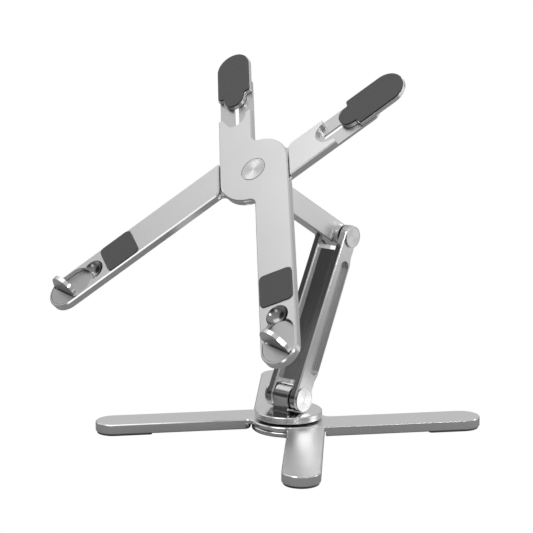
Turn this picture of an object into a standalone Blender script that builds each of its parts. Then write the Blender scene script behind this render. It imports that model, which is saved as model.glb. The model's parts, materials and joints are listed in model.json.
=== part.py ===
"""Folding aluminium laptop stand on a rotating base.

Two Z-shaped base bars cross in a half-lapped hub that carries a turntable.  Two friction arms
stand on it and carry a tray made of two more crossed Z-shaped bars with flip-up laptop hooks,
rubber pads and sliding extensions.  Metres, +Z up, origin on the hub axis at the table surface,
+X along the arm hinges.
"""
import bmesh
import bpy
from math import atan2, cos, degrees, pi, radians, sin, sqrt
from mathutils import Matrix, Vector

MM = 0.001
GAP = 0.3                     # clearance between pieces that touch

# --- driving dimensions (millimetres and degrees) -------------------------------------------
BAR_W = 24.0                  # width of one base leg or tray arm
BAR_EDGE = 0.25               # each arm stops this far short of the bar's centre line
FILLET_R = 5.0                # inside corner where an arm leaves the hub disc
CHAMFER = 0.7                 # polished edge around the bars

BASE_HALF = 125.0             # hub centre to leg tip
BASE_PAD_T = 0.7              # rubber under the legs
BASE_Z0, BASE_Z1 = 1.0, 7.7   # underside and top of the base bars
BASE_RIGHT, BASE_FRONT = 49.6, -52.3   # directions of the two crossed base bars from +X
PAD_LEN = 36.0                # length of a foot pad

DISC_R, DISC_Z0, DISC_Z1 = 22.0, 8.9, 13.6
SPINDLE_R = 5.0

ARM_X0, ARM_X1 = 7.0, 12.3    # inner and outer face of a fork cheek
KNUCKLE_X = 6.0               # half width of a central knuckle
CAP_X1 = 13.6                 # outer face of a hinge cap
PIN_R, PIN_X = 3.0, 12.0      # radius and half length of a hinge pin
P1_Z = 22.3                   # lower hinge height
P1_R, P2_R, P3_R = 8.3, 7.5, 7.4
LOWER_LEN, LOWER_ANGLE = 111.7, 63.5
UPPER_LEN, UPPER_ANGLE = 84.0, 149.8
UPPER_X = 4.3                 # half width of the upper arm's bar

TRAY_T = 5.6                  # thickness of the tray bars
TRAY_ANGLE = 47.9             # slope of the tray
TRAY_LIFT = 16.2              # top face of the tray above the tilt hinge
TRAY_UP, TRAY_DOWN = 86.0, 154.8
TRAY_UP_CORNER = 7.0          # corner radius of the short upper arms
FRONT_TURN, REAR_TURN = 32.0, -37.3   # how far each tray bar is turned from straight up
HOOK_TURN = -10.0             # direction of the hook hinges from level
HOOK_OPEN = 80.0              # hook tabs flipped up from flat
SLIDE_OUT = 17.0              # extensions drawn out from home

# --- scene helpers --------------------------------------------------------------------------
for old in list(bpy.data.objects):
    bpy.data.objects.remove(old)

parts = bpy.data.collections.new("laptop_stand")
cutters = bpy.data.collections.new("laptop_stand_cutters")
for group in (parts, cutters):
    bpy.context.scene.collection.children.link(group)

ALUMINIUM = ((0.66, 0.66, 0.67, 1), 1.0, 0.34)
POLISHED = ((0.78, 0.78, 0.79, 1), 1.0, 0.12)
STEEL = ((0.60, 0.60, 0.61, 1), 1.0, 0.22)
RUBBER = ((0.11, 0.11, 0.11, 1), 0.0, 0.75)
NYLON = ((0.02, 0.02, 0.02, 1), 0.0, 0.45)


def finish(ob, look, collection=parts):
    """Give an object its own material and put it in one collection."""
    for c in list(ob.users_collection):
        c.objects.unlink(ob)
    collection.objects.link(ob)
    if look:
        colour, metallic, roughness = look
        mat = bpy.data.materials.new(ob.name)
        mat.use_nodes = True
        shader = mat.node_tree.nodes["Principled BSDF"]
        shader.inputs["Base Color"].default_value = colour
        shader.inputs["Metallic"].default_value = metallic
        shader.inputs["Roughness"].default_value = roughness
        ob.data.materials.clear()
        ob.data.materials.append(mat)
    return ob


def frame(name, parent=None, location=(0, 0, 0), rotation=(0, 0, 0)):
    """An empty that carries a moving group."""
    ob = bpy.data.objects.new(name, None)
    bpy.context.scene.collection.objects.link(ob)
    ob.location = Vector(location) * MM
    ob.rotation_euler = [radians(a) for a in rotation]
    ob.parent = parent
    return ob


def put(ob, parent, location=(0, 0, 0), rotation=(0, 0, 0)):
    """Settle a finished shape where it was modelled, then hang it on its frame."""
    if ob.modifiers:
        apply_all(ob)
    ob.parent = parent
    ob.location = Vector(location) * MM
    ob.rotation_euler = [radians(a) for a in rotation]
    return ob


def arc(cx, cy, r, a0, a1, n):
    """Points from angle a0 to a1 (degrees), both ends included."""
    steps = [radians(a0 + (a1 - a0) * i / n) for i in range(n + 1)]
    return [(cx + r * cos(a), cy + r * sin(a)) for a in steps]


def rounded(corners, seg=6):
    """A closed outline from (x, y, radius) corners."""
    out = []
    for i, (x, y, r) in enumerate(corners):
        p = Vector((x, y))
        a = (Vector(corners[i - 1][:2]) - p).normalized()
        b = (Vector(corners[(i + 1) % len(corners)][:2]) - p).normalized()
        if r <= 0:
            out.append((x, y))
            continue
        half = a.angle(b) / 2
        centre = p + (a + b).normalized() * (r / sin(half))
        t0 = p + a * (r / (sin(half) / cos(half))) - centre
        t1 = p + b * (r / (sin(half) / cos(half))) - centre
        a0 = atan2(t0.y, t0.x)
        turn = (atan2(t1.y, t1.x) - a0 + pi) % (2 * pi) - pi
        n = max(2, round(seg * abs(turn) / (pi / 2)))
        out += arc(centre.x, centre.y, r, degrees(a0), degrees(a0 + turn), n)
    return out


def plate(name, outline, z0, z1, look=ALUMINIUM, axis="Z", collection=parts):
    """A flat outline given thickness; axis X stands it up with its outline in the YZ plane."""
    curve = bpy.data.curves.new(name, "CURVE")
    curve.dimensions = "2D"
    curve.fill_mode = "BOTH"
    curve.extrude = (z1 - z0) / 2 * MM
    clean = [p for i, p in enumerate(outline)
             if (Vector(p) - Vector(outline[i - 1])).length > 0.02]
    spline = curve.splines.new("POLY")
    spline.points.add(len(clean) - 1)
    for point, (x, y) in zip(spline.points, clean):
        point.co = (x * MM, y * MM, 0, 1)
    spline.use_cyclic_u = True
    source = bpy.data.objects.new(name + "_outline", curve)
    bpy.context.scene.collection.objects.link(source)
    bpy.context.view_layer.update()
    graph = bpy.context.evaluated_depsgraph_get()
    mesh = bpy.data.meshes.new_from_object(source.evaluated_get(graph))
    bpy.data.objects.remove(source)
    bm = bmesh.new()
    bm.from_mesh(mesh)
    bmesh.ops.remove_doubles(bm, verts=bm.verts, dist=1e-6)
    flat = [e for e in bm.edges if e.calc_face_angle(1) < 1e-4]
    bmesh.ops.dissolve_edges(bm, edges=flat, use_verts=False)
    bmesh.ops.recalc_face_normals(bm, faces=bm.faces)
    bm.to_mesh(mesh)
    bm.free()
    shift = Matrix.Translation((0, 0, (z0 + z1) / 2 * MM))
    stand = Matrix(((0, 0, 1, 0), (1, 0, 0, 0), (0, 1, 0, 0), (0, 0, 0, 1)))
    mesh.transform(stand @ shift if axis == "X" else shift)
    mesh.name = name
    return finish(bpy.data.objects.new(name, mesh), look, collection)


def cylinder(name, r, z0, z1, at=(0, 0), look=ALUMINIUM, axis="Z", sides=32, collection=parts):
    bpy.ops.mesh.primitive_cylinder_add(vertices=sides, radius=r * MM, depth=(z1 - z0) * MM)
    ob = bpy.context.active_object
    ob.name = ob.data.name = name
    ob.data.transform(Matrix.Translation((at[0] * MM, at[1] * MM, (z0 + z1) / 2 * MM)))
    if axis == "X":
        ob.data.transform(Matrix(((0, 0, 1, 0), (1, 0, 0, 0), (0, 1, 0, 0), (0, 0, 0, 1))))
    return finish(ob, look, collection)


def box(name, low, high, look=ALUMINIUM, collection=parts):
    bpy.ops.mesh.primitive_cube_add(size=1)
    ob = bpy.context.active_object
    ob.name = ob.data.name = name
    size = Matrix.Diagonal([(b - a) * MM for a, b in zip(low, high)] + [1])
    centre = Matrix.Translation([(a + b) / 2 * MM for a, b in zip(low, high)])
    ob.data.transform(centre @ size)
    return finish(ob, look, collection)


def turned(name, profile, look, steps=48, axis="Z"):
    """A turned piece: (radius, height) points from the top of the outside down, then inside."""
    mesh = bpy.data.meshes.new(name)
    bm = bmesh.new()
    verts = [bm.verts.new((r * MM, 0, z * MM)) for r, z in profile]
    loop = verts if profile[0][0] == 0 else verts + verts[:1]
    for a, b in zip(loop, loop[1:]):
        bm.edges.new((a, b))
    bm.to_mesh(mesh)
    bm.free()
    ob = finish(bpy.data.objects.new(name, mesh), look)
    screw = ob.modifiers.new("turn", "SCREW")
    screw.angle = 2 * pi
    screw.steps = screw.render_steps = steps
    screw.use_merge_vertices = True
    screw.merge_threshold = 0.00001
    screw.use_smooth_shade = True
    apply_all(ob)
    if axis == "X":
        ob.data.transform(Matrix(((0, 0, 1, 0), (1, 0, 0, 0), (0, 1, 0, 0), (0, 0, 0, 1))))
    smooth(ob)
    return ob


def smooth(ob, angle=30):
    ob.data.shade_smooth()
    ob.data.set_sharp_from_angle(angle=radians(angle))
    return ob


def apply_all(ob):
    """Turn an object's modifiers into mesh and keep its normals facing out."""
    bpy.context.view_layer.update()
    graph = bpy.context.evaluated_depsgraph_get()
    mesh = bpy.data.meshes.new_from_object(ob.evaluated_get(graph))
    bm = bmesh.new()
    bm.from_mesh(mesh)
    bmesh.ops.recalc_face_normals(bm, faces=bm.faces)
    bm.to_mesh(mesh)
    bm.free()
    mesh.name = ob.name
    ob.modifiers.clear()
    ob.data = mesh
    return ob


def boolean(ob, other, operation="DIFFERENCE"):
    """Cut or join one shape with another; the other is kept as a hidden cutter."""
    mod = ob.modifiers.new(operation.lower(), "BOOLEAN")
    mod.object = other
    mod.operation = operation
    mod.solver = "EXACT"
    if other.name in parts.objects:
        parts.objects.unlink(other)
        cutters.objects.link(other)
    other.hide_render = True
    other.display_type = "WIRE"
    return ob


def chamfer(ob, width=CHAMFER, segments=1, angle=40):
    mod = ob.modifiers.new("chamfer", "BEVEL")
    mod.width = width * MM
    mod.segments = segments
    mod.limit_method = "ANGLE"
    mod.angle_limit = radians(angle)
    mod.use_clamp_overlap = False
    return ob


def cut(ob, *shapes):
    for shape in shapes:
        boolean(ob, shape)
    return ob


def join(ob, *shapes):
    for shape in shapes:
        boolean(ob, shape, "UNION")
    return ob


def hole(r, z0, z1, at=(0, 0), axis="Z", sides=32):
    return cylinder("hole", r, z0, z1, at, None, axis, sides, cutters)


# --- crossed Z-shaped bars ------------------------------------------------------------------
def mirror_x(points, side):
    return [(x * side, y) for x, y in points][::side]


def zbar_outline(side, up, down, corner):
    """Hub disc with an arm on one side going up and one on the other side going down."""
    r = (BAR_W - BAR_EDGE) / 2
    xf = BAR_EDGE - FILLET_R
    yf = sqrt((BAR_W + FILLET_R) ** 2 - xf * xf)
    end = degrees(atan2(-yf, -xf))

    def half(length, c):
        return ([(BAR_W, 0)] + arc(BAR_W - c, length - c, c, 0, 90, 10)
                + arc(BAR_EDGE + c, length - c, c, 90, 180, 10)
                + arc(xf, yf, FILLET_R, 0, end, 6)
                + arc(0, 0, BAR_W, 180 + end, 180, 14)[1:-1])
    lower = [(-x, -y) for x, y in half(down, r)]
    return mirror_x(half(up, corner or r) + lower, side)


def lap_cutter(side, spread, z0, z1):
    """The band that the crossing bar takes out of this bar's hub, with eased inner corners."""
    reach = BAR_W + 0.7
    b = radians(spread)

    def wall(x):
        return (reach - x * cos(b)) / sin(b)
    edge = BAR_EDGE - 0.15
    k = wall(edge)
    top = [(60, wall(60), 0), (edge, k, FILLET_R), (edge, k + 8, 0), (-5, k + 8, 0),
           (-5, wall(-5), 0), (-60, wall(-60), 0)]
    corners = top + [(-x, -y, r) for x, y, r in top]
    points = mirror_x(rounded(corners), side)
    return plate("lap", points, z0, z1, None, collection=cutters)


def zbar(name, side, up, down, z0, z1, spread, upper, corner=None):
    """One bar of a crossed pair; its hub keeps only the upper or the lower half."""
    bar = plate(name, zbar_outline(side, up, down, corner), z0, z1)
    middle = (z0 + z1) / 2
    if upper:
        cut(bar, lap_cutter(side, spread, z0 - 2, middle + GAP / 2))
    else:
        cut(bar, lap_cutter(side, spread, middle - GAP / 2, z1 + 2))
    return chamfer(bar)


# --- base -----------------------------------------------------------------------------------
base_spread = 180 - (BASE_RIGHT - BASE_FRONT)
base_upper = frame("base_upper_frame", None, (0, 0, 0), (0, 0, BASE_RIGHT - 90))
base_lower = frame("base_lower_frame", None, (0, 0, 0), (0, 0, BASE_FRONT - 90))
upper_bar = zbar("base_bar_upper", 1, BASE_HALF, BASE_HALF, BASE_Z0, BASE_Z1, base_spread, True)
lower_bar = zbar("base_bar_lower", -1, BASE_HALF, BASE_HALF, BASE_Z0, BASE_Z1, base_spread, False)
cut(upper_bar, hole(SPINDLE_R + GAP, 0, 12))
cut(lower_bar, hole(SPINDLE_R + GAP, 0, 12), hole(9.0, -1, 2.7))
put(upper_bar, base_upper)
put(lower_bar, base_lower)

inset = 0.9
for bar, side, ends in ((base_upper, 1, ("right", "left")), (base_lower, -1, ("front", "back"))):
    for end, sign in zip(ends, (1, -1)):
        r = (BAR_W - BAR_EDGE) / 2 - inset
        low, high = BAR_EDGE + inset, BAR_W - inset
        tip = BASE_HALF - inset
        mid = (low + high) / 2
        outline = (arc(mid, tip - r, r, 0, 180, 16)
                   + rounded([(low, tip - r, 0), (low, BASE_HALF - PAD_LEN, 2),
                              (high, BASE_HALF - PAD_LEN, 2), (high, tip - r, 0)], 3)[1:-1])
        outline = mirror_x([(x * sign, y * sign) for x, y in outline], side)
        kind = "upper" if bar is base_upper else "lower"
        foot = plate("foot_pad_" + kind + "_" + end, outline, 0, BASE_PAD_T, RUBBER)
        put(foot, bar)
put(cylinder("hub_pad", 20.0, 0, BASE_PAD_T, look=RUBBER, sides=48), base_lower)

# --- turntable ------------------------------------------------------------------------------
swivel = frame("swivel_frame")
put(turned("swivel_spindle", [(0, 8.6), (10.0, 8.6), (10.0, 8.0), (SPINDLE_R, 8.0), (SPINDLE_R, 1.2),
                          (0, 1.2)], STEEL, 32), swivel)
put(turned("spindle_nut", [(8.6, 2.4), (8.6, 1.1), (SPINDLE_R + GAP, 1.1), (SPINDLE_R + GAP, 2.4)],
       STEEL, 24), swivel)
put(turned("swivel_washer", [(19.0, 8.6), (19.0, 8.0), (11.0, 8.0), (11.0, 8.6)],
       NYLON, 40), swivel)


def groove(z, r=DISC_R, w=0.45, d=0.4):
    return [(r, z + w), (r - d, z + w / 2), (r - d, z - w / 2), (r, z - w)]


disc_profile = ([(0, DISC_Z1), (DISC_R - 0.7, DISC_Z1), (DISC_R, DISC_Z1 - 0.7)]
                + groove(12.0) + groove(10.7)
                + [(DISC_R, DISC_Z0 + 0.5), (DISC_R - 0.5, DISC_Z0), (0, DISC_Z0)])
disc = turned("swivel_disc", disc_profile, POLISHED, 48)
block = plate("block", [(-P1_R, DISC_Z1 - 2)] + [(P1_R, DISC_Z1 - 2)]
              + arc(0, P1_Z, P1_R, 0, 180, 20), -KNUCKLE_X, KNUCKLE_X, None, "X", cutters)
join(disc, block)
cut(disc, hole(PIN_R + GAP, -10, 10, (0, P1_Z), "X", 24))
put(disc, swivel)


# --- hinges ---------------------------------------------------------------------------------
def hinge_hardware(prefix, parent, r_cap, at=(0, 0, 0)):
    """Pin, two spun caps and two black washers on one hinge axis."""
    pin = turned(prefix + "_pin", [(0, PIN_X), (PIN_R - 0.3, PIN_X), (PIN_R, PIN_X - 0.3),
                                   (PIN_R, 0.3 - PIN_X), (PIN_R - 0.3, -PIN_X), (0, -PIN_X)], STEEL, 20, "X")
    put(pin, parent, at)
    for side, name in ((1, "right"), (-1, "left")):
        x0, x1 = ARM_X1 + GAP, CAP_X1
        profile = [(0, x1), (r_cap - 0.5, x1), (r_cap, x1 - 0.5), (r_cap, x0), (0, x0)]
        cap = turned(prefix + "_cap_" + name, profile, POLISHED, 32, "X")
        put(cap, parent, at, (0, 0, 0 if side > 0 else 180))
        ring = [(r_cap - 0.2, KNUCKLE_X + 0.7), (r_cap - 0.2, KNUCKLE_X + GAP),
                (PIN_R + GAP, KNUCKLE_X + GAP), (PIN_R + GAP, KNUCKLE_X + 0.7)]
        washer = turned(prefix + "_washer_" + name, ring, NYLON, 24, "X")
        put(washer, parent, at, (0, 0, 0 if side > 0 else 180))


def cheek_profile(length, r0, r1):
    """Side outline of the lower arm: two round ears, straight front, shouldered back."""
    back = [(14.0, -(r0 - 1.3)), (17.5, -(r0 - 0.05))]
    head = [(length - 17.5, -(r1 + 0.1)), (length - 14.0, -(r1 - 1.2))]
    return (arc(0, 0, r0, 90, 258, 22) + [(5.5, -(r0 - 1.2))]
            + rounded([(5.5, -(r0 - 1.2), 0), (*back[0], 2), (*back[1], 2), (*head[0], 2),
                       (*head[1], 2), (length - 5, -(r1 - 1.1), 0)], 4)[1:]
            + arc(length, 0, r1, -102, 90, 22))


lower = frame("lower_arm_frame", swivel, (0, 0, P1_Z), (LOWER_ANGLE, 0, 0))
outline = cheek_profile(LOWER_LEN, P1_R, P2_R)
arm = plate("lower_arm", outline, ARM_X0, ARM_X1, axis="X")
other_cheek = plate("cheek", outline, -ARM_X1, -ARM_X0, None, "X", cutters)
web = plate("web", [(10.5, 2.0), (LOWER_LEN - 11.5, 2.0), (LOWER_LEN - 11.5, 5.2), (10.5, 5.2)],
            -ARM_X0 - 0.5, ARM_X0 + 0.5, None, "X", cutters)
chamfer(arm, 0.8)
chamfer(other_cheek, 0.8)
join(arm, other_cheek, web)
dip = degrees(atan2(1.0, 69.5))
for x0, x1 in ((ARM_X1 - 3.2, ARM_X1 + 2), (-ARM_X1 - 2, -ARM_X1 + 3.2)):
    slot = plate("slot", rounded([(-39, -4.2, 4.15), (39, -4.2, 4.15), (39, 4.2, 4.15),
                                  (-39, 4.2, 4.15)], 8), x0, x1, None, "X", cutters)
    slot.data.transform(Matrix.Translation((0, 56.0 * MM, -2.2 * MM))
                        @ Matrix.Rotation(radians(dip), 4, "X"))
    cut(arm, slot)
for y in (0, LOWER_LEN):
    cut(arm, hole(PIN_R + GAP, -20, 20, (y, 0), "X", 24))
put(arm, lower)
hinge_hardware("lower_hinge", lower, P1_R - 0.4)

upper = frame("upper_arm_frame", lower, (0, LOWER_LEN, 0), (UPPER_ANGLE - LOWER_ANGLE, 0, 0))
bar = plate("upper_arm", rounded([(-1, -7.6, 3), (UPPER_LEN + 1, -7.4, 3), (UPPER_LEN + 1, 7.4, 3),
                                  (-1, 7.6, 3)], 4), -UPPER_X, UPPER_X, axis="X")
chamfer(bar, 0.8)
for y, r in ((0, P2_R), (UPPER_LEN, P3_R)):
    join(bar, cylinder("knuckle", r, -KNUCKLE_X, KNUCKLE_X, (y, 0), None, "X", 48, cutters))
for y in (0, UPPER_LEN):
    cut(bar, hole(PIN_R + GAP, -20, 20, (y, 0), "X", 24))
put(bar, upper)
hinge_hardware("upper_hinge", upper, P2_R - 0.4)

# --- tray -----------------------------------------------------------------------------------
tilt = frame("tray_tilt_frame", upper, (0, UPPER_LEN, 0), (TRAY_ANGLE - UPPER_ANGLE, 0, 0))
tray = frame("tray_frame", tilt, (0, 0, TRAY_LIFT))
hinge_hardware("tray_hinge", tilt, P3_R - 0.4)

bracket = cylinder("tray_bracket", 17.0, -8.3, -TRAY_T - GAP, sides=48)
chamfer(bracket, 0.5)
for x0, x1 in ((ARM_X0, ARM_X1), (-ARM_X1, -ARM_X0)):
    ear = plate("ear", [(P3_R, -7.5), (-P3_R, -7.5)] + arc(0, -TRAY_LIFT, P3_R, 180, 360, 20),
                x0, x1, None, "X", cutters)
    join(bracket, ear)
cut(bracket, hole(4.0, -12, -4), hole(PIN_R + GAP, -20, 20, (0, -TRAY_LIFT), "X", 24))
put(bracket, tray)

front = frame("tray_front_frame", tray, (0, 0, 0), (0, 0, FRONT_TURN))
rear = frame("tray_rear_frame", tray, (0, 0, 0), (0, 0, REAR_TURN))
put(turned("tray_spindle", [(0, -1.7), (3.6, -1.7), (3.6, -8.2), (0, -8.2)], STEEL, 28), tray)
put(turned("tray_pivot_cap", [(0, 0.1), (7.7, 0.1), (8.0, -0.2), (8.0, -1.3), (0, -1.3)],
           POLISHED, 40), tray)

tray_spread = FRONT_TURN - REAR_TURN
ARM_MID = BAR_EDGE + (BAR_W - BAR_EDGE) / 2
TIP_R = (BAR_W - BAR_EDGE) / 2
TIP_C = TRAY_DOWN - TIP_R               # centre of the round lower tip
POCKET_R, POCKET_Z = 10.5, -4.2
POCKET_END, TAB_END = -123.0, -128.2    # upper ends of the pocket and of the flat tab
HINGE_Z = -1.45                         # hook hinge axis below the top face
NECK_R, NECK_END, WIDE_START, EXT_TIP = 7.6, 43.4, 53.0, 90.5
SLIDE_Z0, SLIDE_Z1 = -2.9, -0.3         # underside and top of an extension
SLOT_END, SLOT_START, SCREW_Y = 73.0, 46.6, 66.6
SCOOP_R, SCOOP_Y, SCOOP_Z = 8.3, -120.6, 4.0
HOOK_PIN_R, HOOK_BORE_R = 0.55, 0.85


def extension_outline(shift, grow):
    """Neck and round-tipped wide part of an extension, grown by a margin."""
    r = NECK_R + grow
    wide = 11.9 + grow
    top = EXT_TIP + shift + grow
    start = WIDE_START + shift - grow
    neck = rounded([(-wide, start + 3, 0), (-wide, start + 0.2, 1.4), (-r, start, 1.8),
                    (-r, NECK_END + shift - grow, r - 0.02), (r, NECK_END + shift - grow, r - 0.02),
                    (r, start, 1.8), (wide, start + 0.3, 1.4), (wide, start + 3, 0)], 6)
    return neck + arc(0, top - wide, wide, 0, 180, 22)


for turn, name, side, is_front in ((front, "left", -1, True), (rear, "right", 1, False)):
    layer = "front" if is_front else "rear"
    foot_side = "right" if is_front else "left"
    bar = zbar("tray_bar_" + layer, side, TRAY_UP, TRAY_DOWN, -TRAY_T, 0, tray_spread, is_front,
               TRAY_UP_CORNER)
    cut(bar, hole(4.0, -12, 4))
    if is_front:
        cut(bar, hole(8.4, -1.6, 4, sides=48))
    # arm centre lines: the upper arm lies on this side, the lower arm on the other
    ux, lx = side * ARM_MID, -side * ARM_MID

    # sliding extension with its stepped pocket, slot and guide groove
    w = NECK_R + 0.5
    pocket = rounded([(-w, NECK_END - 0.5, w - 0.02), (w, NECK_END - 0.5, w - 0.02),
                      (w, WIDE_START - 0.8, 2), (16, WIDE_START - 0.4, 0), (16, 100, 0),
                      (-16, 101, 0), (-16, WIDE_START - 0.5, 0), (-w, WIDE_START - 0.8, 2)], 6)
    shift = [(x + ux, y) for x, y in pocket]
    cut(bar, plate("pocket", shift, SLIDE_Z0 - GAP, 3, None, collection=cutters))
    for half, z1 in ((1.6, 3), (3.2, -4.4)):
        run = rounded([(ux - half, SLOT_START, half - 0.02), (ux + half, SLOT_START, half - 0.02),
                       (ux + half, SLOT_END, half - 0.02), (ux - half, SLOT_END, half - 0.02)], 5)
        cut(bar, plate("slot", run, -9, z1, None, collection=cutters))
    slide = frame("extension_" + name + "_frame", turn, (ux, 0, 0))
    blade = plate("extension_plate_" + name, extension_outline(SLIDE_OUT, 0), SLIDE_Z0, SLIDE_Z1)
    put(cut(blade, hole(1.5, -4, 4, (0, SCREW_Y), sides=16)), slide)
    pad = plate("extension_pad_" + name, extension_outline(SLIDE_OUT, -0.5), 0.0, 0.7, RUBBER)
    put(pad, slide)
    screw = turned("extension_screw_" + name, [(0, -0.6), (1.2, -0.6), (1.2, -4.7), (2.8, -4.7),
                                               (2.8, -5.4), (0, -5.4)], STEEL, 20)
    put(screw, slide, (0, SCREW_Y, 0))

    # rubber pad low on the arm
    pw = BAR_W / 2 - 1.2
    rest = [(lx - pw, -111.5, 3.2), (lx + pw, -111.5, 3.2), (lx + pw, -88, 3.2),
            (lx - pw, -88, 3.2)]
    grown = [(x + (0.3 if x > lx else -0.3), y + (0.3 if y > -100 else -0.3), r)
             for x, y, r in rest]
    cut(bar, plate("recess", rounded(grown, 5), -0.6, 3, None, collection=cutters))
    put(plate("tray_pad_" + foot_side, rounded(rest, 5), -0.3, 0.7, RUBBER), turn)

    # hook pocket, finger scoop, fixed insert and flip-up tab
    def stadium(r, end=POCKET_END):
        return arc(lx, -TIP_C, r, 180, 360, 22) + arc(lx, end - POCKET_R, r, 0, 180, 22)
    cut(bar, plate("pocket", stadium(POCKET_R), POCKET_Z, 3, None, collection=cutters))
    bpy.ops.mesh.primitive_uv_sphere_add(segments=32, ring_count=16, radius=SCOOP_R * MM)
    scoop = bpy.context.active_object
    scoop.name = "scoop"
    scoop.data.transform(Matrix.Translation((lx * MM, SCOOP_Y * MM, SCOOP_Z * MM)))
    cut(bar, finish(scoop, None, cutters))
    put(bar, turn)

    # the hinge line crosses the arm at the centre of its round tip, a little off level
    arm_turn = FRONT_TURN if is_front else REAR_TURN
    hook = frame("hook_" + foot_side + "_frame", turn, (lx, -TIP_C, HINGE_Z),
                 (0, 0, HOOK_TURN - arm_turn))
    arm_dir = Matrix.Rotation(radians(arm_turn - HOOK_TURN), 4, "Z")

    def local(ob):
        """Arm-frame geometry moved into the hook's hinge frame."""
        ob.data.transform(arm_dir @ Matrix.Translation((-lx * MM, TIP_C * MM, -HINGE_Z * MM)))
        return ob
    insert = local(plate("hook_base_" + foot_side, stadium(POCKET_R - GAP), POCKET_Z + GAP, -0.1))
    cut(insert, box("relief", (-30, -1.65, -1.65), (30, 30, 5), None, cutters))
    for sign in (1, -1):
        x0, x1 = sorted((sign * 7.4, sign * 9.3))
        lug = plate("lug", arc(0, 0, 1.35, 0, 180, 10) + [(-1.35, -2.2), (1.35, -2.2)],
                    x0, x1, None, "X", cutters)
        join(insert, lug)
    cut(insert, hole(HOOK_BORE_R, -9.8, 9.8, (0, 0), "X", 12))
    put(insert, hook)

    flip = frame("hook_flip_" + foot_side + "_frame", hook, (0, 0, 0), (HOOK_OPEN, 0, 0))
    tab = local(plate("hook_tab_" + foot_side, stadium(POCKET_R - 2 * GAP, TAB_END), -2.75, -0.15))
    cut(tab, box("clip", (-30, -30, -5), (30, 0, 5), None, cutters))
    join(tab, cylinder("barrel", 1.3, -7.0, 7.0, (0, 0), None, "X", 20, cutters))
    for sign in (1, -1):
        x0, x1 = sorted((sign * 7.0, sign * 18.0))
        cut(tab, box("notch", (x0, -3, -5), (x1, 1.75, 5), None, cutters))
    cut(tab, hole(HOOK_BORE_R, -9, 9, (0, 0), "X", 12))
    put(tab, flip)
    pin = cylinder("hook_pin_" + foot_side, HOOK_PIN_R, -9.2, 9.2, (0, 0), STEEL, "X", 10)
    put(pin, hook)

# --- finish ---------------------------------------------------------------------------------
bpy.context.view_layer.update()
for ob in parts.objects:
    if ob.modifiers:
        apply_all(ob)
    smooth(ob)
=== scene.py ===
# %% [markdown]
# # A folding aluminium laptop stand
# This lesson finishes a stand whose solids are already made and jointed. Each solid is copied, its
# edges are softened, its faces get the right finish, and the turned and rubber pieces are modelled
# again at full detail. The last cells light it like a product in a studio.

# %% Load the frame
import json
from math import cos, radians, sin

import bpy
from mathutils import Matrix, Vector


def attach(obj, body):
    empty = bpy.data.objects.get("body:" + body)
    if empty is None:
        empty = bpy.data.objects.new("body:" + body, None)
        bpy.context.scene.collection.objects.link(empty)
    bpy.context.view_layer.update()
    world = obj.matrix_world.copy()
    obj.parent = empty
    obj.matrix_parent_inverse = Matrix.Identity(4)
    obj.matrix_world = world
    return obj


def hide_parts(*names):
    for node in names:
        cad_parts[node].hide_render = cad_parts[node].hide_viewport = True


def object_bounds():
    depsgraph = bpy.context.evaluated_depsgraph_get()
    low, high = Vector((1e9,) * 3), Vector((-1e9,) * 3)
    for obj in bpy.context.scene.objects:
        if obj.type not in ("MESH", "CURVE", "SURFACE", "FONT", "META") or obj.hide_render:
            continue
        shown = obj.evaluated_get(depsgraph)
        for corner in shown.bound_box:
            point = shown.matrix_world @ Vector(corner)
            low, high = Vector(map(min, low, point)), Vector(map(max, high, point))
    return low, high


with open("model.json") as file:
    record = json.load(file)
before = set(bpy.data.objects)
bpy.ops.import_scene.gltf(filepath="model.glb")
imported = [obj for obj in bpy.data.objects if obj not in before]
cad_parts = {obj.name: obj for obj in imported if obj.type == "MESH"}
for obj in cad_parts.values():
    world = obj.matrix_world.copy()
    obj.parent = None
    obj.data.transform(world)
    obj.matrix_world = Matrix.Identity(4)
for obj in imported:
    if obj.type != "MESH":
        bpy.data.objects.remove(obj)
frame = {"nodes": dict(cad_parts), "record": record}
cad_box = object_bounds()
record = frame["record"]
body_of = {node: body for body, nodes in record["behaviour"]["bodies"].items() for node in nodes}
slot_of = {part["node"]: part["material_slot"] for part in record["subparts"]}
joints = {joint["name"]: joint for joint in record["behaviour"]["joints"]}
MM = 0.001
print("nodes:", len(body_of), "joints:", len(joints))

# %% [markdown]
# ## The directions that the stand is built on
# The arm hinges all run along X. The tray is tilted, and its own normal is the axis that its two
# crossed bars turn about. The sliding extensions give the directions of the tray's upper arms. All
# of these come from the joints, so the looks can never drift away from the mechanism.

# %% Read the mechanism's axes
HINGE_AXIS = Vector((1, 0, 0))
UP = Vector((0, 0, 1))
tray_normal = Vector(joints["tray_front_fold"]["axis"]).normalized()
tray_centre = Vector(joints["tray_front_fold"]["pos_m"])
hinge_at = {
    "lower_hinge": Vector(joints["lower_arm_hinge"]["pos_m"]),
    "upper_hinge": Vector(joints["upper_arm_hinge"]["pos_m"]),
    "tray_hinge": Vector(joints["tray_tilt"]["pos_m"]),
}
arm_up = {
    "front": Vector(joints["extension_left_slide"]["axis"]).normalized(),
    "rear": Vector(joints["extension_right_slide"]["axis"]).normalized(),
}
lower_arm_dir = (hinge_at["upper_hinge"] - hinge_at["lower_hinge"]).normalized()
print("tray normal", [round(a, 3) for a in tray_normal])

# %% [markdown]
# ## Shared effects as node groups
# Blasted aluminium, turned aluminium and silicone all need fine noise at a real scale, so the noise
# is built once as a group with named inputs. Each material places it with its own size. A group
# gives only masks and heights; the shader stays in the material.

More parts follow.
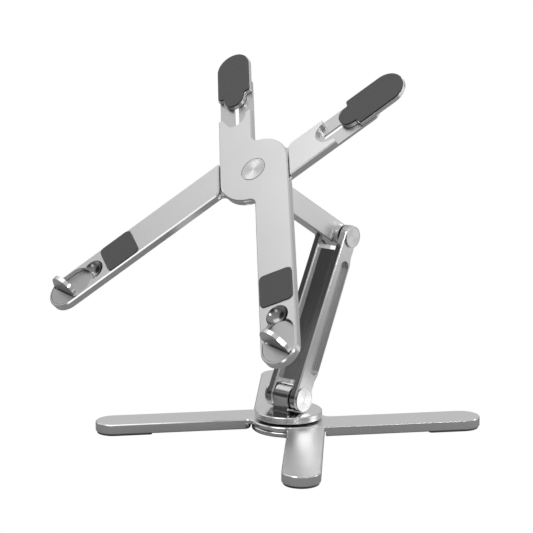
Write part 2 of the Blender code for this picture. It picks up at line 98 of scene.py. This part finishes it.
# %% A helper for node groups
def new_group(name, inputs, outputs):
    """An empty shader group with named float or vector sockets."""
    group = bpy.data.node_groups.new(name, "ShaderNodeTree")
    for title, kind, value in inputs:
        made = group.interface.new_socket(title, in_out="INPUT", socket_type=kind)
        made.default_value = value
    for title, kind in outputs:
        group.interface.new_socket(title, in_out="OUTPUT", socket_type=kind)
    start = group.nodes.new("NodeGroupInput")
    end = group.nodes.new("NodeGroupOutput")
    return group, start, end


def add(tree, kind, **values):
    """A node with its properties set; keys that name an input socket set its value."""
    node = tree.nodes.new(kind)
    for key, value in values.items():
        if hasattr(node, key):
            setattr(node, key, value)
        else:
            node.inputs[key.replace("_", " ")].default_value = value
    return node


FLOAT, VECTOR = "NodeSocketFloat", "NodeSocketVector"

# %% Blasted grain: a fine bump and a slow, faint mottle
grain, gin, gout = new_group("Blasted grain", [("Grain size", FLOAT, 0.00025), ("Mottle size", FLOAT, 0.02)],
                             [("Height", FLOAT), ("Mottle", FLOAT)])
where = add(grain, "ShaderNodeTexCoord")
for title, out, detail in (("Grain size", "Height", 3.0), ("Mottle size", "Mottle", 4.0)):
    scale = add(grain, "ShaderNodeMath", operation="DIVIDE")
    scale.inputs[0].default_value = 1.0
    noise = add(grain, "ShaderNodeTexNoise", Detail=detail, Roughness=0.6)
    grain.links.new(gin.outputs[title], scale.inputs[1])
    grain.links.new(scale.outputs[0], noise.inputs["Scale"])
    grain.links.new(where.outputs["Object"], noise.inputs["Vector"])
    grain.links.new(noise.outputs["Fac"], gout.inputs[out])
print("group:", grain.name)

# %% Turned rings: fine circles around an axis
rings, rin, rout = new_group("Turned rings", [("Centre", VECTOR, (0, 0, 0)), ("Axis", VECTOR, (1, 0, 0)),
                                              ("Pitch", FLOAT, 0.0004)],
                             [("Height", FLOAT), ("Radius", FLOAT)])
where = add(rings, "ShaderNodeTexCoord")
offset = add(rings, "ShaderNodeVectorMath", operation="SUBTRACT")
swept = add(rings, "ShaderNodeVectorMath", operation="CROSS_PRODUCT")
radius = add(rings, "ShaderNodeVectorMath", operation="LENGTH")
turns = add(rings, "ShaderNodeMath", operation="DIVIDE")
wobble = add(rings, "ShaderNodeTexNoise", noise_dimensions="1D", Scale=1.0, Detail=2.0)
rings.links.new(where.outputs["Object"], offset.inputs[0])
rings.links.new(rin.outputs["Centre"], offset.inputs[1])
rings.links.new(offset.outputs[0], swept.inputs[0])
rings.links.new(rin.outputs["Axis"], swept.inputs[1])
rings.links.new(swept.outputs[0], radius.inputs[0])
rings.links.new(radius.outputs["Value"], turns.inputs[0])
rings.links.new(rin.outputs["Pitch"], turns.inputs[1])
rings.links.new(turns.outputs[0], wobble.inputs["W"])
rings.links.new(wobble.outputs["Fac"], rout.inputs["Height"])
rings.links.new(radius.outputs["Value"], rout.inputs["Radius"])
print("group:", rings.name)

# %% Brushed lines: long scratches along one direction
lines, lin, lout = new_group("Brushed lines", [("Along", VECTOR, (1, 0, 0)), ("Line size", FLOAT, 0.0003)],
                             [("Height", FLOAT)])
where = add(lines, "ShaderNodeTexCoord")
along = add(lines, "ShaderNodeVectorMath", operation="PROJECT")
short = add(lines, "ShaderNodeVectorMath", operation="SCALE", Scale=-0.985)
squeezed = add(lines, "ShaderNodeVectorMath", operation="ADD")
scale = add(lines, "ShaderNodeMath", operation="DIVIDE")
scale.inputs[0].default_value = 1.0
noise = add(lines, "ShaderNodeTexNoise", Detail=2.0)
lines.links.new(where.outputs["Object"], along.inputs[0])
lines.links.new(lin.outputs["Along"], along.inputs[1])
lines.links.new(along.outputs[0], short.inputs[0])
lines.links.new(short.outputs[0], squeezed.inputs[0])
lines.links.new(where.outputs["Object"], squeezed.inputs[1])
lines.links.new(squeezed.outputs[0], noise.inputs["Vector"])
lines.links.new(lin.outputs["Line size"], scale.inputs[1])
lines.links.new(scale.outputs[0], noise.inputs["Scale"])
lines.links.new(noise.outputs["Fac"], lout.inputs["Height"])
print("group:", lines.name)

# %% [markdown]
# ## Materials
# The stand has blasted satin aluminium on the broad faces, bright cut metal on the walls and
# chamfers, polished scoops painted dark as a reflection, recess floors painted darker as shade, rail
# faces painted dark as a reflection, turned metal on the discs, plain steel, dark silicone and black
# nylon. Colour and roughness follow the groups' masks between two close values, so nothing is perfectly
# even.

# %% A helper that builds a Principled material between two colours
def spread(tree, source, low, high):
    """Stretches a mask to run from low to high."""
    node = add(tree, "ShaderNodeMapRange")
    node.inputs["From Min"].default_value = 0.3
    node.inputs["From Max"].default_value = 0.7
    node.inputs["To Min"].default_value = low
    node.inputs["To Max"].default_value = high
    tree.links.new(source, node.inputs["Value"])
    return node.outputs["Result"]


def grey(value, warm=0.0):
    return (value * (1 + warm), value, value * (1 - warm), 1)


def start_material(name, metallic):
    material = bpy.data.materials.new(name)
    material.use_nodes = True
    tree = material.node_tree
    shader = tree.nodes["Principled BSDF"]
    shader.inputs["Metallic"].default_value = metallic
    return material, tree, shader


def colour_between(tree, mask, dark, light, shader):
    mix = add(tree, "ShaderNodeMix", data_type="RGBA")
    mix.inputs["A"].default_value = dark
    mix.inputs["B"].default_value = light
    for socket in mix.inputs:
        if socket.type == "RGBA":
            socket.default_value = dark if socket.name == "A" else light
    tree.links.new(mask, mix.inputs[0])
    tree.links.new(next(s for s in mix.outputs if s.type == "RGBA"), shader.inputs["Base Color"])


def bump(tree, height, depth, shader, strength=1.0):
    node = add(tree, "ShaderNodeBump", Strength=strength, Distance=depth)
    tree.links.new(height, node.inputs["Height"])
    tree.links.new(node.outputs["Normal"], shader.inputs["Normal"])


# %% Satin aluminium
def satin_metal(name, dark, light, rough_low, rough_high, depth=4e-6):
    """Blasted and anodised aluminium: an even satin with a faint cloudiness."""
    material, tree, shader = start_material(name, 1.0)
    texture = add(tree, "ShaderNodeGroup", node_tree=grain)
    texture.inputs["Grain size"].default_value = 0.0003
    texture.inputs["Mottle size"].default_value = 0.03
    colour_between(tree, texture.outputs["Mottle"], grey(dark), grey(light, 0.002), shader)
    rough = spread(tree, texture.outputs["Mottle"], rough_high, rough_low)
    tree.links.new(rough, shader.inputs["Roughness"])
    bump(tree, texture.outputs["Height"], depth, shader)
    return material


satin = satin_metal("satin_aluminium", 0.80, 0.86, 0.30, 0.36)
# Painted shade: recess floors and hook inserts are coloured darker than the satin faces.
recess_painted_shade = satin_metal("recess_floor_painted_shade", 0.60, 0.68, 0.34, 0.42)
# Painted reflection: the polished scoop's colour is darkened to stand in for the dark surroundings it
# mirrors.
scoop_painted_reflection = satin_metal("scoop_painted_dark_reflection", 0.34, 0.42, 0.10, 0.16, 1e-6)
print("materials:", satin.name, recess_painted_shade.name, scoop_painted_reflection.name)

# %% Bright cut walls and chamfers
def cut_metal(name, along, dark, light, rough_low, rough_high):
    """Milled walls: cutter lines run along the wall and blur its reflection a little."""
    material, tree, shader = start_material(name, 1.0)
    texture = add(tree, "ShaderNodeGroup", node_tree=lines)
    texture.inputs["Along"].default_value = along
    texture.inputs["Line size"].default_value = 0.0004
    colour_between(tree, texture.outputs["Height"], grey(dark), grey(light), shader)
    rough = spread(tree, texture.outputs["Height"], rough_low, rough_high)
    tree.links.new(rough, shader.inputs["Roughness"])
    bump(tree, texture.outputs["Height"], 1.5e-6, shader)
    return material


cut_wall = {
    "flat": cut_metal("cut_wall_flat", UP, 0.78, 0.86, 0.13, 0.20),
    "tray": cut_metal("cut_wall_tray", tray_normal, 0.78, 0.86, 0.13, 0.20),
    "arm": cut_metal("cut_wall_arm", lower_arm_dir, 0.78, 0.86, 0.12, 0.19),
}
chamfer_metal = cut_metal("cut_chamfer", HINGE_AXIS, 0.90, 0.94, 0.10, 0.16)
# Painted reflection: the rail's cut front faces are coloured dark.
rail_face_painted_reflection = cut_metal("rail_face_painted_reflection", lower_arm_dir, 0.50, 0.58, 0.16, 0.22)
print("materials:", [m.name for m in cut_wall.values()], chamfer_metal.name)

# %% Turned discs
def turned_metal(name, centre, axis, pitch=0.00045, anisotropic=0.75, rough=0.26):
    """Metal faced on a lathe: its grooves run in circles, so its shine fans out from the centre."""
    material, tree, shader = start_material(name, 1.0)
    texture = add(tree, "ShaderNodeGroup", node_tree=rings)
    texture.inputs["Centre"].default_value = centre
    texture.inputs["Axis"].default_value = axis
    texture.inputs["Pitch"].default_value = pitch
    colour_between(tree, texture.outputs["Height"], grey(0.76), grey(0.88), shader)
    tree.links.new(spread(tree, texture.outputs["Height"], rough - 0.04, rough + 0.05),
                   shader.inputs["Roughness"])
    bump(tree, texture.outputs["Height"], 3e-6, shader)
    shader.inputs["Anisotropic"].default_value = anisotropic
    where = add(tree, "ShaderNodeTexCoord")
    offset = add(tree, "ShaderNodeVectorMath", operation="SUBTRACT")
    offset.inputs[1].default_value = centre
    sweep = add(tree, "ShaderNodeVectorMath", operation="CROSS_PRODUCT")
    sweep.inputs[1].default_value = axis
    world = add(tree, "ShaderNodeVectorTransform", vector_type="VECTOR",
                convert_from="OBJECT", convert_to="WORLD")
    tree.links.new(where.outputs["Object"], offset.inputs[0])
    tree.links.new(offset.outputs[0], sweep.inputs[0])
    tree.links.new(sweep.outputs[0], world.inputs[0])
    tree.links.new(world.outputs[0], shader.inputs["Tangent"])
    return material


turned = {name: turned_metal("turned_" + name, at, HINGE_AXIS) for name, at in hinge_at.items()}
turned["tray_pivot"] = turned_metal("turned_tray_pivot", tray_centre, tray_normal)
turned["swivel"] = turned_metal("turned_swivel", (0, 0, 0), UP, 0.0008, 0.5, 0.16)
print("turned materials:", len(turned))

# %% Silicone, nylon and steel
def soft_material(name, dark, light, rough_low, rough_high, grain_size, depth, sheen=0.0):
    material, tree, shader = start_material(name, 0.0)
    texture = add(tree, "ShaderNodeGroup", node_tree=grain)
    texture.inputs["Grain size"].default_value = grain_size
    texture.inputs["Mottle size"].default_value = 0.012
    colour_between(tree, texture.outputs["Mottle"], dark, light, shader)
    tree.links.new(spread(tree, texture.outputs["Mottle"], rough_low, rough_high),
                   shader.inputs["Roughness"])
    bump(tree, texture.outputs["Height"], depth, shader)
    shader.inputs["Sheen Weight"].default_value = sheen
    return material


silicone = soft_material("silicone", grey(0.108), grey(0.130), 0.62, 0.72, 0.0005, 1.5e-5, 0.15)
nylon = soft_material("black_nylon", grey(0.010), grey(0.016), 0.38, 0.48, 0.0004, 6e-6)
steel = satin_metal("machined_steel", 0.48, 0.58, 0.22, 0.30)
print("materials:", silicone.name, nylon.name, steel.name)

# %% [markdown]
# ## Machined pieces from the solids
# The bars, arms and bracket already have their real shape, so the safest way is to keep it: copy the
# solid, merge its loose triangles, and round every sharp edge by a tenth of a millimetre or two, as
# anodised metal is never razor sharp. The thin rounds catch the light as bright lines.

# %% A helper that copies a solid and softens its edges
MERGE_DISTANCE, FLAT_ANGLE, SMOOTH_ANGLE = 0.002 * MM, radians(0.6), radians(60)


def only(piece):
    """Makes this the one selected and active object."""
    bpy.ops.object.select_all(action="DESELECT")
    piece.select_set(True)
    bpy.context.view_layer.objects.active = piece


def machined(node, name, width, segments=2, angle=28):
    """A merged copy of a solid with softened edges and flat shading on its flat faces."""
    source = frame["nodes"][node]
    piece = bpy.data.objects.new(name, source.data.copy())
    bpy.context.scene.collection.objects.link(piece)
    only(piece)
    bpy.ops.object.mode_set(mode="EDIT")
    bpy.ops.mesh.select_all(action="SELECT")
    bpy.ops.mesh.remove_doubles(threshold=MERGE_DISTANCE)
    bpy.ops.mesh.dissolve_limited(angle_limit=FLAT_ANGLE)
    bpy.ops.object.mode_set(mode="OBJECT")
    if width:
        edge = piece.modifiers.new("soft_edges", "BEVEL")
        edge.width = width
        edge.segments = segments
        edge.limit_method = "ANGLE"
        edge.angle_limit = radians(angle)
        bpy.ops.object.modifier_apply(modifier=edge.name)
    bpy.ops.object.shade_smooth_by_angle(angle=SMOOTH_ANGLE)
    flat = piece.modifiers.new("flat_faces_stay_flat", "WEIGHTED_NORMAL")
    flat.weight, flat.keep_sharp = 100, True
    bpy.ops.object.modifier_apply(modifier=flat.name)
    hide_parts(node)
    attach(piece, body_of[node])
    return piece


def dress(piece, *materials):
    """Replaces a piece's materials."""
    piece.data.materials.clear()
    for material in materials:
        piece.data.materials.append(material)
    return piece


def finish_faces(piece, choose):
    """Gives each face the material whose index choose(normal, centre) returns."""
    for face in piece.data.polygons:
        face.material_index = choose(face.normal, face.center)
    return piece


# %% [markdown]
# ## Base bars, tray bars and their inserts
# On a bar the broad faces are blasted, the walls are cut bright, and the chamfer between them is the
# brightest line of all. The direction of a face tells which it is, so faces are chosen by the angle
# between their normal and the bar's own normal.

# %% Bars
BROAD, WALL, RECESS_DEPTH = 0.96, 0.3, 0.9 * MM


def by_normal(normal, recess=None):
    """0 satin for faces along the normal, 1 for walls, 2 for chamfers, 3 for recess floors painted darker as
    shade.
    """
    def choose(n, centre):
        lean = abs(n.dot(normal))
        if lean > BROAD:
            faces_up = recess is not None and n.dot(normal) > 0
            return 3 if faces_up and (centre - recess).dot(normal) < -RECESS_DEPTH else 0
        return 1 if lean < WALL else 2
    return choose


for node in ("base_bar_upper", "base_bar_lower"):
    bar = machined(node, node + "_metal", 0.12 * MM)
    dress(bar, satin, cut_wall["flat"], chamfer_metal, recess_painted_shade)
    finish_faces(bar, by_normal(UP))
SCOOP_FROM_HINGE, SCOOP_REACH = 22.3 * MM, 8.6 * MM


def with_scoop(choose, dish):
    """The same choice, but 4 for the faces of the finger scoop around its centre, painted dark as a
    reflection.
    """
    def choose_again(n, centre):
        inside = (centre - dish).length < SCOOP_REACH and (centre - dish).dot(tray_normal) < -0.05 * MM
        curved = 0.05 < n.dot(tray_normal) < 0.9999
        return 4 if inside and curved else choose(n, centre)
    return choose_again


for layer, hook in (("front", "hook_right_flip"), ("rear", "hook_left_flip")):
    bar = machined("tray_bar_" + layer, "tray_bar_" + layer + "_metal", 0.12 * MM)
    dress(bar, satin, cut_wall["tray"], chamfer_metal, recess_painted_shade, scoop_painted_reflection)
    dish = Vector(joints[hook]["pos_m"]) + arm_up[layer] * SCOOP_FROM_HINGE
    dish += tray_normal * (tray_centre - dish).dot(tray_normal)
    finish_faces(bar, with_scoop(by_normal(tray_normal, tray_centre), dish))
for side in ("left", "right"):
    blade = machined("extension_plate_" + side, "extension_blade_" + side, 0.15 * MM)
    dress(blade, satin, cut_wall["tray"], chamfer_metal, recess_painted_shade)
    finish_faces(blade, by_normal(tray_normal))
    insert = machined("hook_base_" + side, "hook_insert_" + side, 0.15 * MM)
    # The insert's broad faces take the recess colour, which is painted shade.
    dress(insert, recess_painted_shade, cut_wall["tray"], chamfer_metal, recess_painted_shade)
    finish_faces(insert, by_normal(tray_normal))
bracket = machined("tray_bracket", "tray_bracket_metal", 0.2 * MM)
dress(bracket, satin, cut_wall["tray"], chamfer_metal, recess_painted_shade)
finish_faces(bracket, by_normal(tray_normal))
print("bars and blades finished")

# %% [markdown]
# ## Arms
# The lower arm is a fork: its cheeks show a satin side with a long slot, and bright-cut front
# faces painted dark as a reflection. The upper arm is one bar with a round knuckle at each end.

# %% Arms
def arm_faces(n, centre):
    side = abs(n.dot(HINGE_AXIS))
    if side > BROAD:
        return 0
    return 1 if side < WALL else 2


lower_arm = machined("lower_arm", "lower_arm_metal", 0.15 * MM)
dress(lower_arm, satin, rail_face_painted_reflection, chamfer_metal)
finish_faces(lower_arm, arm_faces)
upper_arm = machined("upper_arm", "upper_arm_metal", 0.15 * MM)
dress(upper_arm, satin, cut_wall["arm"], chamfer_metal)
finish_faces(upper_arm, arm_faces)
print("arms finished")

# %% [markdown]
# ## Turntable, hooks and small steel pieces

# %% Turntable and hooks
disc = machined("swivel_disc", "turntable_disc", 0.12 * MM)
dress(disc, turned["swivel"])
for side in ("left", "right"):
    tab = machined("hook_tab_" + side, "hook_flap_" + side, 0.35 * MM, 4)
    dress(tab, satin, chamfer_metal)
    flat = max(tab.data.polygons, key=lambda face: face.area).normal.copy()
    finish_faces(tab, lambda n, centre: 0 if abs(n.dot(flat)) > 0.98 else 1)
for node in ("spindle_nut", "swivel_spindle", "tray_spindle", "lower_hinge_pin", "upper_hinge_pin",
             "tray_hinge_pin", "extension_screw_left", "extension_screw_right", "hook_pin_left",
             "hook_pin_right"):
    dress(machined(node, node + "_steel", 0.08 * MM), steel)
for node in [name for name in body_of if slot_of[name] == "black_nylon"]:
    dress(machined(node, node + "_ring", 0.08 * MM), nylon)
print("turntable, hooks and hardware finished")

# %% [markdown]
# ## Spun caps
# Each hinge end and the tray's pivot carry a turned disc: a shallow dish inside a raised bright rim.
# A circle is filled, then inset and moved step by step, as a lathe tool would cut it.

# %% Caps
def spun_cap(node, name, centre, axis, material):
    """A turned disc with a bright rim and a shallow dish, modelled along Z and then stood up."""
    solid = frame["nodes"][node].data.vertices
    heights = [(v.co - centre).dot(axis) for v in solid]
    radii = [(v.co - centre).cross(axis).length for v in solid]
    bottom, top, radius = min(heights), max(heights), max(radii)
    bpy.ops.object.select_all(action="DESELECT")
    bpy.ops.mesh.primitive_circle_add(vertices=96, radius=radius, fill_type="NGON")
    cap = bpy.context.active_object
    cap.name = name
    bpy.ops.object.mode_set(mode="EDIT")
    bpy.ops.mesh.select_all(action="SELECT")
    bpy.ops.mesh.extrude_region_move(TRANSFORM_OT_translate={"value": (0, 0, top - bottom)})
    rim = 0.09 * radius
    for inward, rise in ((0.0001, 0.0), (rim, 0.0), (0.25 * rim, -0.12 * MM), (0.35 * radius, -0.05 * MM),
                         (0.3 * radius, 0.0)):
        bpy.ops.mesh.inset(thickness=inward, depth=rise)
    bpy.ops.mesh.poke()
    bpy.ops.object.mode_set(mode="OBJECT")
    edge = cap.modifiers.new("rim", "BEVEL")
    edge.width, edge.segments, edge.limit_method = 0.18 * MM, 3, "ANGLE"
    edge.angle_limit = radians(40)
    bpy.ops.object.modifier_apply(modifier=edge.name)
    bpy.ops.object.mode_set(mode="EDIT")
    bpy.ops.mesh.select_all(action="SELECT")
    bpy.ops.mesh.normals_make_consistent(inside=False)
    bpy.ops.object.mode_set(mode="OBJECT")
    turn = UP.rotation_difference(axis).to_matrix().to_4x4()
    cap.data.transform(Matrix.Translation(centre + axis * bottom) @ turn)
    bpy.ops.object.shade_smooth_by_angle(angle=radians(25))
    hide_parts(node)
    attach(cap, body_of[node])
    return dress(cap, material)


for hinge, at in hinge_at.items():
    for side, direction in (("right", 1), ("left", -1)):
        spun_cap(hinge + "_cap_" + side, hinge + "_disc_" + side, at, HINGE_AXIS * direction, turned[hinge])
spun_cap("tray_pivot_cap", "tray_pivot_disc", tray_centre, tray_normal, turned["tray_pivot"])
print("spun caps:", 7)

# %% [markdown]
# ## Silicone pads
# The pads are die-cut rubber with a soft top edge, so they get a wide round where metal has a
# narrow one.

# %% Pads
for node in [name for name in body_of if slot_of[name] == "silicone"]:
    pad = machined(node, node + "_rubber", 0.22 * MM, 3)
    dress(pad, silicone)
print("pads finished")

# %% [markdown]
# ## Studio
# The floor is plain: white where the camera sees it, mid grey in reflections. Polished metal shows
# what stands around it, so the surroundings are a soft gradient with a bright top, bright patches
# behind the stand, three small bright strips and a dark patch on either side of the camera.

# %% Floor
bpy.ops.object.select_all(action="DESELECT")
bpy.ops.mesh.primitive_plane_add(size=0.9)
floor = bpy.context.active_object
floor.name = "floor"
floor.location.z = -0.0002
paint = bpy.data.materials.new("floor_paint")
paint.use_nodes = True
tree = paint.node_tree
shader = tree.nodes["Principled BSDF"]
shader.inputs["Roughness"].default_value = 0.9
shader.inputs["Base Color"].default_value = grey(0.36)
glow = add(tree, "ShaderNodeEmission", Strength=1.0)
path = add(tree, "ShaderNodeLightPath")
blend = add(tree, "ShaderNodeMixShader")
tree.links.new(path.outputs["Is Camera Ray"], blend.inputs[0])
tree.links.new(shader.outputs[0], blend.inputs[1])
tree.links.new(glow.outputs[0], blend.inputs[2])
tree.links.new(blend.outputs[0], tree.nodes["Material Output"].inputs["Surface"])
floor.data.materials.append(paint)

# %% Surroundings
world = bpy.data.worlds.new("studio")
bpy.context.scene.world = world
world.use_nodes = True
tree = world.node_tree
backdrop = tree.nodes["Background"]
where = add(tree, "ShaderNodeTexCoord")


def lobe(direction, inner, outer, low, high):
    """Light that runs from high near a direction to low away from it."""
    dot = add(tree, "ShaderNodeVectorMath", operation="DOT_PRODUCT")
    dot.inputs[1].default_value = Vector(direction).normalized()
    tree.links.new(where.outputs["Generated"], dot.inputs[0])
    ramp = add(tree, "ShaderNodeMapRange", interpolation_type="SMOOTHSTEP")
    for key, value in (("From Min", cos(radians(outer))), ("From Max", cos(radians(inner))),
                       ("To Min", low), ("To Max", high)):
        ramp.inputs[key].default_value = value
    tree.links.new(dot.outputs["Value"], ramp.inputs["Value"])
    return ramp.outputs["Result"]


def combine(a, b, operation):
    node = add(tree, "ShaderNodeMath", operation=operation)
    tree.links.new(a, node.inputs[0])
    tree.links.new(b, node.inputs[1])
    return node.outputs[0]


light = lobe((0, 0, 1), 10, 120, 0.16, 0.55)
light = combine(light, lobe((-0.64, -0.20, 0.74), 14, 40, 0.0, 0.25), "ADD")
light = combine(light, lobe((-0.50, 0.84, 0.20), 15, 45, 0.0, 0.22), "ADD")
light = combine(light, lobe((0.72, 0.69, -0.10), 20, 42, 0.0, 0.55), "ADD")
light = combine(light, lobe((-0.60, -0.70, 0.38), 16, 34, 1.0, 0.12), "MULTIPLY")
light = combine(light, lobe((0.85, -0.50, -0.10), 14, 34, 1.0, 0.35), "MULTIPLY")
STRIPS = (((0.10, -0.55, -0.83), 1.2), ((-0.45, -0.60, -0.66), 0.9), ((0.35, -0.93, 0.05), 0.9))
for strip, brightness in STRIPS:
    light = combine(light, lobe(strip, 5, 14, 0.0, brightness), "ADD")
tree.links.new(light, backdrop.inputs["Strength"])
seen = add(tree, "ShaderNodeBackground")
path = add(tree, "ShaderNodeLightPath")
blend = add(tree, "ShaderNodeMixShader")
tree.links.new(path.outputs["Is Camera Ray"], blend.inputs[0])
tree.links.new(backdrop.outputs[0], blend.inputs[1])
tree.links.new(seen.outputs[0], blend.inputs[2])
tree.links.new(blend.outputs[0], tree.nodes["World Output"].inputs["Surface"])
backdrop.inputs["Color"].default_value = (1, 1, 1, 1)
seen.inputs["Color"].default_value = (1, 1, 1, 1)
print("surroundings ready")


# %% Soft boxes
def soft_box(name, toward, distance, size, power):
    """A large square lamp that looks at the middle of the stand."""
    lamp = bpy.data.lights.new(name, "AREA")
    lamp.shape, lamp.size, lamp.energy = "SQUARE", size, power
    holder = bpy.data.objects.new(name, lamp)
    bpy.context.scene.collection.objects.link(holder)
    middle = (cad_box[0] + cad_box[1]) / 2
    holder.location = middle + Vector(toward).normalized() * distance
    holder.rotation_euler = Vector(toward).to_track_quat("Z", "Y").to_euler()
    return holder


soft_box("key", (-0.2, -0.3, 1.2), 1.2, 0.8, 2.2)
soft_box("rim", (0.8, 0.9, 0.5), 1.2, 0.5, 1.6)
soft_box("side", (1.0, -0.35, 0.6), 1.3, 0.25, 1.2)

# %% [markdown]
# ## Camera
# A long lens from a little above and to the right, as for a catalogue picture.

# %% Camera
AZIMUTH, ELEVATION, DISTANCE = radians(40.68), radians(11.32), 1.197
back = Vector((sin(AZIMUTH) * cos(ELEVATION), -cos(AZIMUTH) * cos(ELEVATION), sin(ELEVATION)))
target = Vector((-0.0246, 0.0066, 0.1042))
lens = bpy.data.cameras.new("camera")
lens.lens, lens.sensor_width = 123.6, 36
camera = bpy.data.objects.new("camera", lens)
bpy.context.scene.collection.objects.link(camera)
camera.location = target + back * DISTANCE
camera.rotation_euler = back.to_track_quat("Z", "Y").to_euler()
bpy.context.scene.camera = camera
bpy.context.scene.view_settings.view_transform = "Standard"
print("camera at", [round(a, 3) for a in camera.location])
